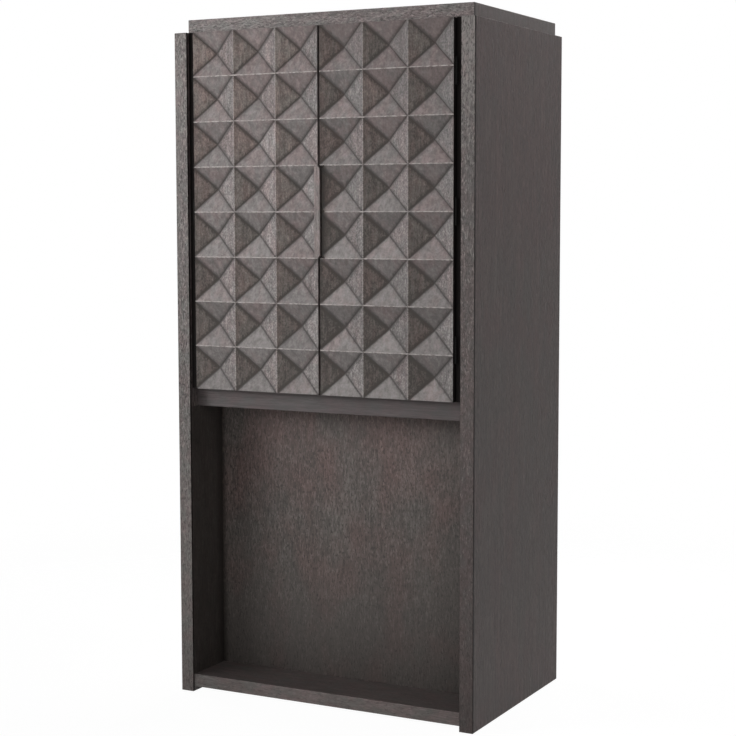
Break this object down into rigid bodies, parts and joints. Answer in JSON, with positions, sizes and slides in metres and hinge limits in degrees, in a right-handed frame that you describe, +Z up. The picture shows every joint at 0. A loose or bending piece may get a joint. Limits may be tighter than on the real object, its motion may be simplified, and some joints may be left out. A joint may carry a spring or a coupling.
{
  "type": "bar armoire",
  "caption": "Tall bar armoire: carved coffered doors open a shelved cupboard with a stemware rack, over a shallow open niche between full-height side panels.",
  "frame": {"origin": "on the floor, under the middle of the case in plan", "axes": "+Z up, the doors face -Y, +X to the right of someone facing them"},
  "size_m": [1, 0.66, 2.082],
  "materials": {
    "stained_oak": "open-pore veneer stained dark grey-brown, satin",
    "carved_oak": "carved and stained grey-brown, ridges rubbed lighter, satin",
    "lining_oak": "veneer lining stained dark brown, satin",
    "black_paint": "painted black, matt",
    "black_steel": "blackened steel, satin",
    "bright_steel": "plated steel, satin",
    "black_nylon": "moulded nylon, matt"
  },
  "bodies": {
    "case": {"right_side_panel": "stained_oak", "left_side_panel": "stained_oak", "top_board": "stained_oak", "cupboard_ceiling": "lining_oak", "front_rail": "stained_oak", "cupboard_floor": "lining_oak", "niche_ceiling": "stained_oak", "niche_back_panel": "stained_oak", "niche_floor": "stained_oak", "upper_back_panel": "lining_oak", "lower_back_panel": "lining_oak", "right_hinge_stile": "black_paint", "left_hinge_stile": "black_paint", "right_hinge_1_frame_leaf": "black_steel", "left_hinge_1_frame_leaf": "black_steel", "right_hinge_1_pin": "black_steel", "left_hinge_1_pin": "black_steel", "right_hinge_2_frame_leaf": "black_steel", "left_hinge_2_frame_leaf": "black_steel", "right_hinge_2_pin": "black_steel", "left_hinge_2_pin": "black_steel", "right_hinge_3_frame_leaf": "black_steel", "left_hinge_3_frame_leaf": "black_steel", "right_hinge_3_pin": "black_steel", "left_hinge_3_pin": "black_steel", "lower_shelf": "lining_oak", "upper_shelf": "lining_oak", "right_lower_shelf_front_pin": "bright_steel", "left_lower_shelf_front_pin": "bright_steel", "right_lower_shelf_rear_pin": "bright_steel", "left_lower_shelf_rear_pin": "bright_steel", "right_upper_shelf_front_pin": "bright_steel", "left_upper_shelf_front_pin": "bright_steel", "right_upper_shelf_rear_pin": "bright_steel", "left_upper_shelf_rear_pin": "bright_steel", "stemware_rail_1": "lining_oak", "stemware_rail_2": "lining_oak", "stemware_rail_3": "lining_oak", "stemware_rail_4": "lining_oak", "right_magnetic_catch": "black_nylon", "left_magnetic_catch": "black_nylon", "right_front_glide": "black_nylon", "left_front_glide": "black_nylon", "right_rear_glide": "black_nylon", "left_rear_glide": "black_nylon"},
    "left_door": {"left_door_front": "carved_oak", "left_door_core": "carved_oak", "left_door_pull_lip": "carved_oak", "left_hinge_1_door_leaf": "black_steel", "left_hinge_2_door_leaf": "black_steel", "left_hinge_3_door_leaf": "black_steel", "left_strike_plate": "bright_steel"},
    "right_door": {"right_door_front": "carved_oak", "right_door_core": "carved_oak", "right_hinge_1_door_leaf": "black_steel", "right_hinge_2_door_leaf": "black_steel", "right_hinge_3_door_leaf": "black_steel", "right_strike_plate": "bright_steel"}
  },
  "joints": [
    {"name": "left_door_hinge", "type": "hinge", "parent": "case", "child": "left_door", "pos_m": [-0.439, -0.321, 1.4985], "axis": [0, 0, -1], "range_deg": [0, 110]},
    {"name": "right_door_hinge", "type": "hinge", "parent": "case", "child": "right_door", "pos_m": [0.439, -0.321, 1.4985], "axis": [0, 0, 1], "range_deg": [0, 110]}
  ]
}
